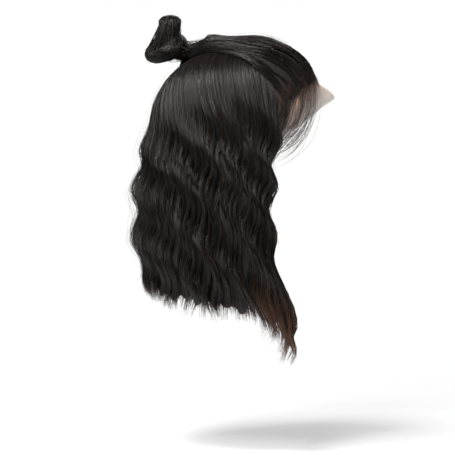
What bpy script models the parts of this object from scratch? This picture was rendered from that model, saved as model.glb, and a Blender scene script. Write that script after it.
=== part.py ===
"""A lace front wig of wavy dark hair, worn half up in a top knot.

Metres, +Z up. The face looks along -Y and the wearer's left is +X. The origin is the inside of
the cap at its crown, where the top of the head sits. The head itself isn't modelled, and the
wig keeps the form that it has when worn.

Hair is built as locks. Every lock of a section is cut from one smooth sheet of hair, so that
neighbours follow the same waves and never cross, and each ends in its own tapered tip.
"""

import math

import bmesh
import bpy
from mathutils import Vector

MM = 0.001

# Head that the cap is stretched over: a rounded box between an ellipsoid and a block
HEAD_HALF_WIDTH = 76 * MM
HEAD_HALF_LENGTH = 97 * MM
HEAD_HALF_HEIGHT = 95 * MM
HEAD_ROUNDNESS = 2.3

# Cap and lace
CAP_WALL = 1.2 * MM
LACE_WALL = 1.0 * MM
SEAM_ANGLE = 97.0
SEAM_GAP = 0.3
NAPE_ANGLE = 215.0
LACE_TAB_REACH = 17 * MM
LACE_TAB_SPREAD = 15.0

# Sheet of hair: clearance over the cap, and the groove left between two locks
HAIR_CLEARANCE = 2.1 * MM
LOCK_GROOVE = 0.7 * MM

# Gather, where the swept section is tied, and the knot over it
GATHER = Vector((0, 75, -13.5)) * MM
GATHER_AXIS = Vector((0, 0.9, 0.44)).normalized()
GATHER_RADIUS = 10.5 * MM
GATHER_NECK = 3.4 * MM
TIE_THICKNESS = 1.4 * MM
KNOT_CENTRE = Vector((0, 99.6, -1.6)) * MM
WRAP_DOWNHILL = Vector((0, 0.9135, -0.4067)).normalized()
WRAP_LEAN = math.radians(22)
WRAP_LONG_RADIUS = 21.7 * MM
WRAP_SHORT_RADIUS = 17.9 * MM
WRAP_THICKNESS = 10.0 * MM
LOOP_TOP = 39.9 * MM
LOOP_LEAN = 4.8 * MM

# Waves of the hanging hair
WAVE_LENGTH = 60 * MM
WAVE_OUT = 4.2 * MM
WAVE_ASIDE = 3.8 * MM
WAVE_SLANT = 1.3
WAVE_START = 107 * MM

# Hairline, from the middle of the forehead to the temple: angle to the side of the head,
# angle up from level at the hairline, and angle at the lace's outer edge
HAIRLINE = (
    {"aside": 0, "hairline": 33, "lace_edge": 13},
    {"aside": 20, "hairline": 33, "lace_edge": 12},
    {"aside": 40, "hairline": 31, "lace_edge": 5},
    {"aside": 58, "hairline": 25, "lace_edge": -9},
    {"aside": 66, "hairline": 10, "lace_edge": -30},
)

# Side edge of the cap and lace, round the ear: angle from level at the front over the top to
# the back, and how far to the side the edge lies there
EAR_EDGE = (
    {"round": -30, "aside": 64},
    {"round": 5, "aside": 70},
    {"round": 30, "aside": 77},
    {"round": 60, "aside": 84},
    {"round": 120, "aside": 84},
    {"round": 160, "aside": 78},
    {"round": 215, "aside": 66},
)

# Thickness of the hanging hair by height, at the back, beside the ear and at its front edge
THICKNESS = (
    {"height": 0, "back": 10, "side": 5, "front": 5},
    {"height": -60, "back": 15, "side": 11, "front": 7},
    {"height": -95, "back": 22, "side": 17, "front": 10},
    {"height": -130, "back": 30, "side": 22, "front": 13},
    {"height": -180, "back": 38, "side": 27, "front": 16},
    {"height": -240, "back": 38, "side": 29, "front": 18},
    {"height": -290, "back": 30, "side": 27, "front": 18},
    {"height": -345, "back": 24, "side": 24, "front": 18},
    {"height": -410, "back": 20, "side": 20, "front": 15},
)

# Hem of the hanging hair round the head, from the middle of the back to the face
HEM = (
    {"around": 0, "height": -308},
    {"around": 30, "height": -320},
    {"around": 60, "height": -332},
    {"around": 85, "height": -342},
    {"around": 100, "height": -368},
    {"around": 112, "height": -404},
)

# How far the front edge swings towards the face, in degrees round the head, by height
FORWARD_SWING = (
    {"height": -95, "swing": 0},
    {"height": -135, "swing": -3},
    {"height": -170, "swing": -5},
    {"height": -215, "swing": -6},
    {"height": -265, "swing": -3},
    {"height": -305, "swing": 3},
    {"height": -345, "swing": 12},
    {"height": -380, "swing": 8},
    {"height": -410, "swing": 7},
)

# Widths of the hanging locks on one side, in degrees round the head, from the face backwards
HANGING_WIDTHS = (9, 12, 14, 15, 15, 15, 16, 16)
HANGING_EXTRA_LENGTH = (6, -4, 3, -6, 5, -3, 4, -5)
SWEPT_EDGES = (0.0, 0.27, 0.52, 0.77, 1.0)

TEMPLE_ASIDE = 60.0

# How far along the swept hair leaves the head, and where it has reached the tie
SWEPT_LIFT = 0.8
SWEPT_TIED = 0.95

HAIR = ("dark_hair", (0.022, 0.018, 0.016, 1.0), 0.42)
NET = ("cap_net", (0.045, 0.038, 0.034, 1.0), 0.9)
LACE = ("lace", (0.62, 0.52, 0.44, 1.0), 0.8)
ELASTIC = ("elastic", (0.02, 0.02, 0.02, 1.0), 0.7)


def smooth(share):
    """0 to 1 with level ends."""
    share = min(1.0, max(0.0, share))
    return share * share * (3 - 2 * share)


def read_table(rows, key, value, at):
    """The value column of a table at a place in its key column, eased between rows."""
    rows = sorted(rows, key=lambda row: row[key])
    at = min(rows[-1][key], max(rows[0][key], at))
    for low, high in zip(rows, rows[1:]):
        if at <= high[key]:
            share = (at - low[key]) / (high[key] - low[key])
            return low[value] + (high[value] - low[value]) * share
    return rows[-1][value]


def clear_scene():
    for old in list(bpy.data.objects):
        bpy.data.objects.remove(old)


def new_collection(name):
    collection = bpy.data.collections.new(name)
    bpy.context.scene.collection.children.link(collection)
    return collection


def material(finish):
    name, colour, roughness = finish
    made = bpy.data.materials.get(name) or bpy.data.materials.new(name)
    made.use_nodes = True
    shader = made.node_tree.nodes["Principled BSDF"]
    shader.inputs["Base Color"].default_value = colour
    shader.inputs["Roughness"].default_value = roughness
    return made


def add_object(name, data, finish):
    made = bpy.data.objects.new(name, data)
    data.materials.append(material(finish))
    bpy.data.collections["lace_front_wig"].objects.link(made)
    return made


# Head surface


def head_scale(x, y, z):
    """How far out the head's surface lies along a direction given in head radii."""
    n = HEAD_ROUNDNESS
    return (abs(x) ** n + abs(y) ** n + abs(z) ** n) ** (-1 / n)


def on_head(x, y, z):
    """The point of the head's surface along a direction given in head radii."""
    reach = head_scale(x, y, z)
    return Vector(
        (
            x * reach * HEAD_HALF_WIDTH,
            y * reach * HEAD_HALF_LENGTH,
            (z * reach - 1) * HEAD_HALF_HEIGHT,
        )
    )


def head_normal(point, level=False):
    """The way out of the head at a point; level leaves the height out, as below its middle."""
    n = HEAD_ROUNDNESS - 1
    parts = []
    for value, half in (
        (point.x, HEAD_HALF_WIDTH),
        (point.y, HEAD_HALF_LENGTH),
        (point.z + HEAD_HALF_HEIGHT, HEAD_HALF_HEIGHT),
    ):
        parts.append(math.copysign(abs(value / half) ** n, value) / half)
    if level:
        parts[2] = 0
    return Vector(parts).normalized()


def over_ears(round_angle, aside):
    """A direction in head radii: round from level at the front over the top, and aside."""
    a, b = math.radians(round_angle), math.radians(aside)
    return math.sin(b), -math.cos(b) * math.cos(a), math.cos(b) * math.sin(a)


# Cap and lace


def shell(name, place, columns, rows, wall, finish):
    """A grid from -1 to 1 each way, laid on a surface and given a wall outwards."""
    mesh = bpy.data.meshes.new(name)
    grid = bmesh.new()
    bmesh.ops.create_grid(grid, x_segments=columns, y_segments=rows, size=1)
    for vertex in grid.verts:
        vertex.co = place(vertex.co.x, vertex.co.y)
    grid.to_mesh(mesh)
    grid.free()
    made = add_object(name, mesh, finish)
    thick = made.modifiers.new("wall", "SOLIDIFY")
    thick.thickness = wall
    thick.offset = 1
    return made


def ear_edge(round_angle):
    return read_table(EAR_EDGE, "round", "aside", round_angle)


def cap_place(across, along):
    """Rear cap: along runs from the seam to the nape, across from ear to ear."""
    start = SEAM_ANGLE + SEAM_GAP
    turn = start + (NAPE_ANGLE - start) * (along + 1) / 2
    return on_head(*over_ears(turn, across * ear_edge(turn)))


def lace_place(across, along):
    """Lace panel: along runs from its outer edge on the skin to the seam."""
    seam = SEAM_ANGLE - SEAM_GAP
    share = (along + 1) / 2
    turn = seam
    for _ in range(4):
        aside = across * ear_edge(turn)
        edge = read_table(HAIRLINE, "aside", "lace_edge", abs(aside))
        turn = edge + (seam - edge) * share
    aside = across * ear_edge(turn)
    point = on_head(*over_ears(turn, aside))
    hairline = read_table(HAIRLINE, "aside", "hairline", abs(aside))
    beyond = smooth((hairline - turn) / (hairline - edge))
    tab = math.exp(-((aside / LACE_TAB_SPREAD) ** 2))
    outward = Vector((0, -0.85, 0.52)).normalized()
    return point + outward * (LACE_TAB_REACH * beyond * tab)


def build_cap():
    shell("cap", cap_place, 14, 12, CAP_WALL, NET)
    shell("lace_front", lace_place, 16, 9, LACE_WALL, LACE)


# Locks


def loft(name, rings, finish):
    """A closed skin over a row of rings with equal numbers of points, ends filled."""
    count = len(rings[0])
    points = [point for ring in rings for point in ring]
    faces = []
    for row in range(len(rings) - 1):
        for k in range(count):
            a, b = row * count + k, row * count + (k + 1) % count
            faces.append((a, b, b + count, a + count))
    faces.append(tuple(reversed(range(count))))
    last = (len(rings) - 1) * count
    faces.append(tuple(range(last, last + count)))
    mesh = bpy.data.meshes.new(name)
    mesh.from_pydata(points, [], faces)
    skin = bmesh.new()
    skin.from_mesh(mesh)
    bmesh.ops.recalc_face_normals(skin, faces=skin.faces)
    if skin.calc_volume(signed=True) < 0:
        bmesh.ops.reverse_faces(skin, faces=skin.faces)
    bmesh.ops.triangulate(skin, faces=skin.faces)
    skin.to_mesh(mesh)
    skin.free()
    mesh.shade_smooth()
    return add_object(name, mesh, finish)


# Places round one lock: across from -1 to 1, and depth from 0 at the cap to 1 outside
LOCK_OUTLINE = (
    {"across": -1.0, "depth": 0.06},
    {"across": -1.0, "depth": 0.62},
    {"across": -0.62, "depth": 0.92},
    {"across": 0.0, "depth": 1.0},
    {"across": 0.62, "depth": 0.92},
    {"across": 1.0, "depth": 0.62},
    {"across": 1.0, "depth": 0.06},
    {"across": 0.0, "depth": 0.0},
)


# Swept section: from the hairline back to the gather


def hairline_point(across):
    aside = across * TEMPLE_ASIDE
    turn = read_table(HAIRLINE, "aside", "hairline", abs(aside))
    return over_ears(turn, aside)


def swept_end(across):
    """The foot of the gather on the head, in head radii: its front is the middle strand's."""
    turn = math.radians(172 * across)
    return 0.21 * math.sin(turn), 0.72 - 0.12 * math.cos(turn), 0.76 + 0.085 * math.cos(turn)


def swept_direction(across, along):
    """The straight way from the hairline to the gather, bowed upwards at the sides."""
    start, end = hairline_point(across), swept_end(across)
    bow = 0.16 * math.sin(math.pi * along) * abs(across)
    x, y, z = (a + (b - a) * along for a, b in zip(start, end))
    return x, y, z + bow


def swept_thickness(across, along):
    rise = smooth(along / 0.45) * 7.5 + 3 + 8 * smooth((along - 0.6) / 0.3)
    edge = 1 - 0.42 * smooth((abs(across) - 0.55) / 0.45)
    wave = 1 + 0.10 * math.sin(along * 17 + across * 5)
    return rise * edge * wave * MM


def swept_sheet(across, along, depth):
    point = on_head(*swept_direction(across, along))
    out = HAIR_CLEARANCE + swept_thickness(across, along) * depth
    return point + head_normal(point) * out


def swept_point(across, along, depth):
    """A point of the swept section, which ends as a round bundle through the tie."""
    if along <= SWEPT_LIFT:
        return swept_sheet(across, along, depth)
    start = swept_sheet(across, SWEPT_LIFT, depth)
    way = (start - swept_sheet(across, SWEPT_LIFT - 0.03, depth)).normalized()
    turn = math.radians(172 * across)
    aside = Vector((1, 0, 0))
    ring = aside * math.sin(turn) + aside.cross(GATHER_AXIS) * math.cos(turn)
    end = GATHER + ring * GATHER_RADIUS * (0.10 + 0.90 * depth)
    if along >= SWEPT_TIED:
        return end + GATHER_AXIS * GATHER_NECK * (along - SWEPT_TIED) / (1 - SWEPT_TIED)
    share = (along - SWEPT_LIFT) / (SWEPT_TIED - SWEPT_LIFT)
    reach = (end - start).length * 0.3
    first, second = start + way * reach, end - GATHER_AXIS * reach
    rest = 1 - share
    return (
        start * rest**3
        + first * (3 * rest**2 * share)
        + second * (3 * rest * share**2)
        + end * share**3
    )


def build_swept_locks():
    stations = [0, 0.07, 0.15, 0.25, 0.36, 0.48, 0.6, 0.72, 0.8, 0.85, 0.9, 0.95, 1.0]
    for side, sign in (("right", -1), ("left", 1)):
        for k, (low, high) in enumerate(zip(SWEPT_EDGES, SWEPT_EDGES[1:])):
            middle = (low + high) / 2
            rings = []
            for along in stations:
                groove = 0.007 + 0.034 * smooth((along - 0.5) / 0.4)
                half = (high - low) / 2 - groove
                rings.append(
                    [
                        swept_point(
                            sign * (middle + half * place["across"]),
                            along,
                            place["depth"],
                        )
                        for place in LOCK_OUTLINE
                    ]
                )
            loft(f"swept_lock_{side}_{k + 1}", rings, HAIR)


# Hanging section: from the parting down


def parting_rows():
    """The parting in turns round the head and angles up, read off the swept section's edge."""
    rows = []
    for k in range(25):
        x, y, z = swept_direction(1.0, k / 24)
        rows.append(
            {
                "around": math.degrees(math.atan2(x, y)),
                "up": math.degrees(math.atan2(z, math.hypot(x, y))),
            }
        )
    return rows


PARTING = parting_rows()


def meridian(around, up):
    """A direction in head radii: round from the back, and up from level."""
    a, e = math.radians(around), math.radians(up)
    return math.sin(a) * math.cos(e), math.cos(a) * math.cos(e), math.sin(e)


def hem_height(around):
    return read_table(HEM, "around", "height", abs(around)) * MM


def hanging_base(around, share):
    """Where the sheet of hair lies on the head, or hangs plumb below its widest place."""
    root = read_table(PARTING, "around", "up", abs(around)) - 3.0
    on_dome = math.radians(root) * HEAD_HALF_HEIGHT
    below = -HEAD_HALF_HEIGHT - hem_height(around)
    run = share * (on_dome + below)
    if run < on_dome:
        point = on_head(*meridian(around, root * (1 - run / on_dome)))
        return point, head_normal(point)
    height = -HEAD_HALF_HEIGHT - (run - on_dome)
    front = smooth((abs(around) - 40) / 77)
    swing = read_table(FORWARD_SWING, "height", "swing", height / MM) * front
    turned = around + math.copysign(1, around) * swing
    point = on_head(*meridian(turned, 0))
    normal = head_normal(point, level=True)
    point.z = height
    return point, normal


def hanging_thickness(around, height):
    back = read_table(THICKNESS, "height", "back", height / MM)
    side = read_table(THICKNESS, "height", "side", height / MM)
    front = read_table(THICKNESS, "height", "front", height / MM)
    turn = abs(around)
    if turn < 85:
        return (back + (side - back) * smooth(turn / 85)) * MM
    return (side + (front - side) * smooth((turn - 85) / 32)) * MM


def hanging_point(around, share, depth):
    """A point of the hanging section: sheet, thickness and waves together."""
    point, normal = hanging_base(around, share)
    grown = smooth((-point.z - WAVE_START * 0.55) / (WAVE_START * 0.9))
    slanted = -point.z - WAVE_SLANT * (HEAD_HALF_LENGTH - point.y) - WAVE_START
    phase = 2 * math.pi * slanted / WAVE_LENGTH
    out = HAIR_CLEARANCE + hanging_thickness(around, point.z) * depth
    out += WAVE_OUT * grown * (1 + math.sin(phase))
    aside = Vector((0, 0, 1)).cross(normal).normalized()
    mirrored = min(1.0, max(-1.0, around / 25))
    swing = mirrored * WAVE_ASIDE * grown * math.cos(phase)
    return point + normal * out + aside * swing


def build_hanging_locks():
    stations = [0, 0.07, 0.14, 0.2] + [0.25 + 0.75 * k / 23 for k in range(24)]
    for side, sign in (("right", -1), ("left", 1)):
        front = sum(HANGING_WIDTHS)
        for k, width in enumerate(HANGING_WIDTHS):
            middle = front - width / 2
            front -= width
            rings = []
            for share in stations:
                tip = smooth((share - 0.86) / 0.14)
                narrow = 1 - 0.6 * tip
                half = width / 2 * narrow - math.degrees(LOCK_GROOVE / 2 / HEAD_HALF_WIDTH)
                ring = []
                for place in LOCK_OUTLINE:
                    depth = 0.5 + (place["depth"] - 0.5) * (1 - 0.7 * tip)
                    ring.append(
                        hanging_point(
                            sign * (middle + half * place["across"]), share, depth
                        )
                    )
                rings.append(ring)
            for point in rings[-1]:
                point.z -= HANGING_EXTRA_LENGTH[k] * MM
            loft(f"hanging_lock_{side}_{k + 1}", rings, HAIR)


# Knot


def coil_rope(name, points, radii, finish):
    """A thick closed rope of hair: a curve with a round bevel."""
    curve = bpy.data.curves.new(name, "CURVE")
    curve.dimensions = "3D"
    curve.bevel_depth = 1.0
    curve.bevel_resolution = 4
    spline = curve.splines.new("POLY")
    spline.points.add(len(points) - 1)
    for knot, point, radius in zip(spline.points, points, radii):
        knot.co = (*point, 1)
        knot.radius = radius
    spline.use_cyclic_u = True
    return add_object(name, curve, finish)


def build_tie():
    bpy.ops.mesh.primitive_torus_add(
        major_radius=GATHER_RADIUS + TIE_THICKNESS + 0.4 * MM,
        minor_radius=TIE_THICKNESS,
        major_segments=20,
        minor_segments=6,
        location=GATHER + GATHER_AXIS * GATHER_NECK / 2,
    )
    tie = bpy.context.object
    tie.name = "hair_tie"
    tie.rotation_mode = "QUATERNION"
    tie.rotation_quaternion = GATHER_AXIS.to_track_quat("Z", "Y")
    tie.data.materials.append(material(ELASTIC))
    for collection in list(tie.users_collection):
        collection.objects.unlink(tie)
    bpy.data.collections["lace_front_wig"].objects.link(tie)


def build_wrap():
    """The coil round the knot's foot, lower on the wearer's right."""
    normal = Vector((0, -WRAP_DOWNHILL.z, WRAP_DOWNHILL.y))
    near = Vector((-1, 0, 0)) * math.cos(WRAP_LEAN) - normal * math.sin(WRAP_LEAN)
    steps = 24
    points, radii = [], []
    for k in range(steps):
        turn = 2 * math.pi * k / steps
        back = 0.5 + 0.5 * math.cos(turn)
        points.append(
            KNOT_CENTRE
            + WRAP_DOWNHILL * math.cos(turn) * (WRAP_SHORT_RADIUS + 1.2 * MM * back)
            + near * math.sin(turn) * WRAP_LONG_RADIUS
        )
        radii.append(WRAP_THICKNESS * (1 - 0.10 * back + 0.07 * math.sin(turn)))
    coil_rope("knot_wrap", points, radii, HAIR)


# Course of one leg of the loop, from the tie to the top: how far aside, back and up, its half
# thickness from side to side, and its half depth from front to back
LOOP_LEG = (
    {"aside": 3.3, "back": 79.6, "up": -12.0, "half": 2.6, "deep": 2.9},
    {"aside": 3.3, "back": 86, "up": -11.7, "half": 2.6, "deep": 3.1},
    {"aside": 3.4, "back": 92.8, "up": -8.4, "half": 2.6, "deep": 3.3},
    {"aside": 3.8, "back": 99, "up": -1.2, "half": 2.8, "deep": 3.6},
    {"aside": 4.0, "back": 101.4, "up": 6, "half": 3.0, "deep": 4.6},
    {"aside": 4.3, "back": 102.2, "up": 12, "half": 3.5, "deep": 6.4},
    {"aside": 5.8, "back": 100.9, "up": 18.2, "half": 4.9, "deep": 8.2},
    {"aside": 8.8, "back": 96.6, "up": 24.6, "half": 7.6, "deep": 13.6},
)


def loop_course():
    """Both legs and the arch between them, leaning to the wearer's right as they rise."""
    legs = []
    for row in LOOP_LEG:
        place = Vector((row["aside"], row["back"], row["up"])) * MM
        legs.append((place, row["half"] * MM, row["deep"] * MM))
    start, half, deep = legs[-1]
    rise = LOOP_TOP - half - start.z
    arch = []
    steps = 10
    for k in range(1, steps):
        turn = math.pi * k / steps
        place = Vector(
            (
                start.x * math.cos(turn),
                start.y - 2.4 * MM * math.sin(turn),
                start.z + rise * math.sin(turn),
            )
        )
        arch.append((place, half, deep))
    mirrored = [(Vector((-p.x, p.y, p.z)), h, d) for p, h, d in reversed(legs)]
    course = legs + arch + mirrored
    for place, _, _ in course:
        place.x -= LOOP_LEAN * smooth((place.z - 2 * MM) / (22 * MM))
    return course


def build_loop():
    """The loop of hair that stands up, wider from front to back than from side to side."""
    course = loop_course()
    rings = []
    for k, (place, half, deep) in enumerate(course):
        before, after = course[max(0, k - 1)][0], course[min(len(course) - 1, k + 1)][0]
        way = (after - before).normalized()
        side = way.cross(Vector((0, 1, 0))).normalized()
        front = side.cross(way)
        turns = [2 * math.pi * j / 12 for j in range(12)]
        rings.append(
            [place + side * half * math.cos(t) + front * deep * math.sin(t) for t in turns]
        )
    loft("knot_loop", rings, HAIR)


def main():
    clear_scene()
    new_collection("lace_front_wig")
    build_cap()
    build_swept_locks()
    build_tie()
    build_wrap()
    build_loop()
    build_hanging_locks()


main()
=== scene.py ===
"""Lace front wig of wavy dark hair, worn half up in a top knot.

Metres, +Z up, the front looks along -Y and the wearer's left is +X. The hair is laid out as the
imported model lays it: a hanging section round the sides and back, a swept section over the crown,
and a knot. Each section is a closed bed of hair with separate strands over it.
"""

import math

import bpy
import numpy as np
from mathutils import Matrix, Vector


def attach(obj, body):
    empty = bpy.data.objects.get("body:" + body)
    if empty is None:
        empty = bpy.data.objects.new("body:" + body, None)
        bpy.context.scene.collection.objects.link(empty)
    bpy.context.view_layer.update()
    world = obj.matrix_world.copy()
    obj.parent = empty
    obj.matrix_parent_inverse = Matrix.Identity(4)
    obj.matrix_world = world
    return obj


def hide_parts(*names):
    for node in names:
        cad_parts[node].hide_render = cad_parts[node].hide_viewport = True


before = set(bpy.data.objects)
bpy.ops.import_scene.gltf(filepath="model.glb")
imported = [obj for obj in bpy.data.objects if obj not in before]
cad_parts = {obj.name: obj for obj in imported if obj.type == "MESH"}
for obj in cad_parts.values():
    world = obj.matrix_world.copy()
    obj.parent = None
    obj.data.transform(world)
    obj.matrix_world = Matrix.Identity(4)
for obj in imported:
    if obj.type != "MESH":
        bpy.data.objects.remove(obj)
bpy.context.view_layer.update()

rng = np.random.default_rng(41)

MM = 0.001

# Form that the cap is stretched to: half width, length and height of a rounded box
FORM = np.array([76.0, 97.0, 95.0]) * MM
ROUNDNESS = 2.3

# Cap and lace, in degrees over the top from level at the front
CAP_WALL = 1.2 * MM
LACE_WALL = 1.0 * MM
SEAM, SEAM_GAP, NAPE = 97.0, 0.3, 215.0
TAB_REACH, TAB_SPREAD = 17 * MM, 15.0
HAIRLINE_ASIDE = (0, 20, 40, 58, 66)
HAIRLINE_TURN = (33, 33, 31, 25, 10)
LACE_EDGE_TURN = (13, 12, 5, -9, -30)
EAR_TURN = (-30, 5, 30, 60, 120, 160, 215)
EAR_ASIDE = (64, 70, 77, 84, 84, 78, 66)

# Hair over the cap
CLEARANCE = 2.1 * MM
GATHER = np.array([0.0, 75.0, -13.5]) * MM
GATHER_AXIS = np.array([0.0, 0.9, 0.44]) / math.hypot(0.9, 0.44)
GATHER_RADIUS = 10.5 * MM
GATHER_NECK = 3.4 * MM
GATHER_WAY, GATHER_RING = np.array([0.0, 0.72, 0.76]), (0.21, 0.12, 0.085)  # in half sizes
SIDE_BOW = 0.16
TEMPLE, RING = 60.0, 172.0  # degrees aside at the temples, and round half the tied bundle
LIFT, TIED = 0.8, 0.95  # how far along the swept hair leaves the cap, and reaches the tie

# Hanging hair: drops below the crown in mm, and thickness there at the back, side and front
DROPS = (0, 60, 95, 130, 180, 240, 290, 345, 410)
THICK_BACK = (10, 15, 22, 30, 38, 38, 30, 24, 20)
THICK_SIDE = (5, 11, 17, 22, 27, 29, 27, 24, 20)
THICK_FRONT = (5, 7, 10, 13, 16, 18, 18, 18, 15)
HEM_AROUND = (0, 30, 60, 85, 100, 112)
HEM_DROP = (308, 320, 332, 342, 368, 404)
SWING_DROP = (95, 135, 170, 215, 265, 305, 345, 380, 410)
SWING = (0, -3, -5, -6, -3, 3, 12, 8, 7)
WAVE_LENGTH, WAVE_OUT, WAVE_ASIDE = 60 * MM, 4.4 * MM, 4.6 * MM
WAVE_SLANT, WAVE_START = 1.3, 107 * MM
LOCK_WIDTHS = (9, 12, 14, 15, 15, 15, 16, 16)
FRONT_EDGE = 112.0  # degrees round from the back to the front edge
CROWN_REACH = 0.7  # how far towards the browner tips the hair over the crown is coloured

# Knot
KNOT = np.array([0.0, 99.6, -1.6]) * MM
DOWNHILL = np.array([0.0, 0.9135, -0.4067]) / math.hypot(0.9135, 0.4067)
LEAN = math.radians(22)
COIL_LONG, COIL_SHORT, COIL_THICK = 21.7 * MM, 17.9 * MM, 10.0 * MM
WIND = 0.42  # how far the coil's hairs wind round it for each radian along it
# One leg of the loop: how far aside, back and up, and its half thickness and half depth
LOOP_LEG = np.array(
    [
        [3.3, 79.6, -12.0, 2.6, 2.9],
        [3.3, 86.0, -11.7, 2.6, 3.1],
        [3.4, 92.8, -8.4, 2.6, 3.3],
        [3.8, 99.0, -1.2, 2.8, 3.6],
        [4.0, 101.4, 6.0, 3.0, 4.6],
        [4.3, 102.2, 12.0, 3.5, 6.4],
        [5.8, 100.9, 18.2, 4.9, 8.2],
        [8.8, 96.6, 24.6, 7.6, 13.6],
    ]
)
LOOP_TOP, LOOP_LEAN, LOOP_SAG = 39.9, 4.8, 2.4  # its top, lean to the right, and arch forwards


# Small helpers


def smooth(share):
    """0 to 1 with level ends: the share squared times three less twice the share."""
    share = np.clip(share, 0.0, 1.0)
    return share * share * (3 - 2 * share)


def unit(vectors):
    """Vectors over their own lengths."""
    return vectors / np.linalg.norm(vectors, axis=-1, keepdims=True).clip(1e-12)


def mix(first, second, share):
    """First plus the share of the way to second."""
    return first + (second - first) * share


def cubic(start, first, second, end, t):
    """A cubic curve from start to end that heads for first and comes in from second."""
    return (
        start * (1 - t) ** 3
        + first * 3 * (1 - t) ** 2 * t
        + second * 3 * (1 - t) * t**2
        + end * t**3
    )


def along_across(rows, columns):
    """A grid of shares along, from 0 to 1, and across, from 1 on the left to -1."""
    return np.meshgrid(np.linspace(0, 1, rows), np.linspace(1, -1, columns), indexing="ij")


# Form of the cap


def on_form(ways):
    """A place on the form: a way over its own 2.3-norm, times the half sizes."""
    reach = (np.abs(ways) ** ROUNDNESS).sum(-1, keepdims=True) ** (-1 / ROUNDNESS)
    return ways * reach * FORM - (0, 0, FORM[2])


def form_normal(points):
    """Way out of the form: each half-size share to the power 1.3, over that half size."""
    shares = (points + (0, 0, FORM[2])) / FORM
    return unit(np.sign(shares) * np.abs(shares) ** (ROUNDNESS - 1) / FORM)


def over_top(turn, aside):
    """A way round from level at the front over the top by turn, leaning aside."""
    a, b = np.radians(turn), np.radians(aside)
    return np.stack([np.sin(b), -np.cos(b) * np.cos(a), np.cos(b) * np.sin(a)], -1)


def meridian(around, up):
    """A way round from the back, and up from level."""
    a, e = np.radians(around), np.radians(up)
    return np.stack([np.sin(a) * np.cos(e), np.cos(a) * np.cos(e), np.sin(e)], -1)


# Swept section


def swept_way(across, along):
    """Straight from the hairline to a ring at the gather, bowed up at the sides by a half sine."""
    aside = across * TEMPLE
    start = over_top(np.interp(np.abs(aside), HAIRLINE_ASIDE, HAIRLINE_TURN), aside)
    turn = np.radians(RING * across)
    ring = np.stack([np.sin(turn), -np.cos(turn), np.cos(turn)], -1)
    way = mix(start, GATHER_WAY + ring * GATHER_RING, along[..., None])
    way[..., 2] += SIDE_BOW * np.sin(np.pi * along) * np.abs(across)
    return way


def swept_sheet(across, along, depth):
    """The form's surface plus its normal times the clearance and a share of the thickness.

    The thickness grows in two steps from 3 mm at the hairline to 18.5 at the gather, thins out
    to the sides, and has shallow ripples.
    """
    points = on_form(swept_way(across, along))
    rise = 3 + 7.5 * smooth(along / 0.45) + 8 * smooth((along - 0.6) / 0.3)
    edge = 1 - 0.42 * smooth((np.abs(across) - 0.55) / 0.45)
    thick = rise * edge * (1 + 0.10 * np.sin(17 * along + 5 * across)) * MM
    normals = form_normal(points)
    return points + normals * (CLEARANCE + thick * depth)[..., None], normals


def swept(across, along, depth):
    """The sheet up to the lift, then a cubic curve into the round bundle through the tie."""
    across, along, depth = np.broadcast_arrays(across, along, depth)
    sheet, normals = swept_sheet(across, np.minimum(along, LIFT), depth)
    start, _ = swept_sheet(across, np.full_like(along, LIFT), depth)
    before, _ = swept_sheet(across, np.full_like(along, LIFT - 0.03), depth)
    turn = np.radians(RING * across)[..., None]
    side = np.array([1.0, 0.0, 0.0])
    ring = side * np.sin(turn) + np.cross(side, GATHER_AXIS) * np.cos(turn)
    end = GATHER + ring * GATHER_RADIUS * (0.10 + 0.90 * depth)[..., None]
    reach = np.linalg.norm(end - start, axis=-1, keepdims=True) * 0.3
    first, second = start + unit(start - before) * reach, end - GATHER_AXIS * reach
    t = np.clip((along - LIFT) / (TIED - LIFT), 0, 1)[..., None]
    curve = cubic(start, first, second, end, t)
    curve = curve + GATHER_AXIS * GATHER_NECK * np.clip(along - TIED, 0, 1)[..., None] / 0.05
    lifted = (along > LIFT)[..., None]
    return np.where(lifted, curve, sheet), unit(np.where(lifted, mix(normals, ring, t), normals))


# Hanging section

_edge = swept_way(np.ones(25), np.linspace(0, 1, 25))
PARTING_AROUND = np.degrees(np.arctan2(_edge[:, 0], _edge[:, 1]))[::-1]
PARTING_UP = np.degrees(np.arctan2(_edge[:, 2], np.hypot(_edge[:, 0], _edge[:, 1])))[::-1]


def hanging_base(around, share):
    """Down the form from just under the parting to its widest place, then plumb to the hem.

    The share of the whole run is first spent on the dome, as an angle up from level, and then
    as a drop. Below, the front swings forward by the table.
    """
    turn = np.abs(around)
    root = np.interp(turn, PARTING_AROUND, PARTING_UP) - 3.0
    on_dome = np.radians(root) * FORM[2]
    below = np.interp(turn, HEM_AROUND, HEM_DROP) * MM - FORM[2]
    run = share * (on_dome + below)
    up = root * (1 - np.minimum(run / on_dome, 1))
    drop = FORM[2] + np.maximum(run - on_dome, 0)
    swing = np.interp(drop / MM, SWING_DROP, SWING) * smooth((turn - 40) / 77)
    points = on_form(meridian(around + np.sign(around) * swing, up))
    normals = form_normal(points)
    points[..., 2] = np.where(run < on_dome, points[..., 2], -drop)
    return points, normals


def hanging_thickness(around, drop):
    """Back eased to side over 85 degrees round, then side eased to front over 32 more."""
    turn, drop = np.abs(around), drop / MM
    back, side, front = (
        np.interp(drop, DROPS, row) for row in (THICK_BACK, THICK_SIDE, THICK_FRONT)
    )
    side = mix(back, side, smooth(turn / 85))
    return mix(side, front, smooth((turn - 85) / 32)) * MM


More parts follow.
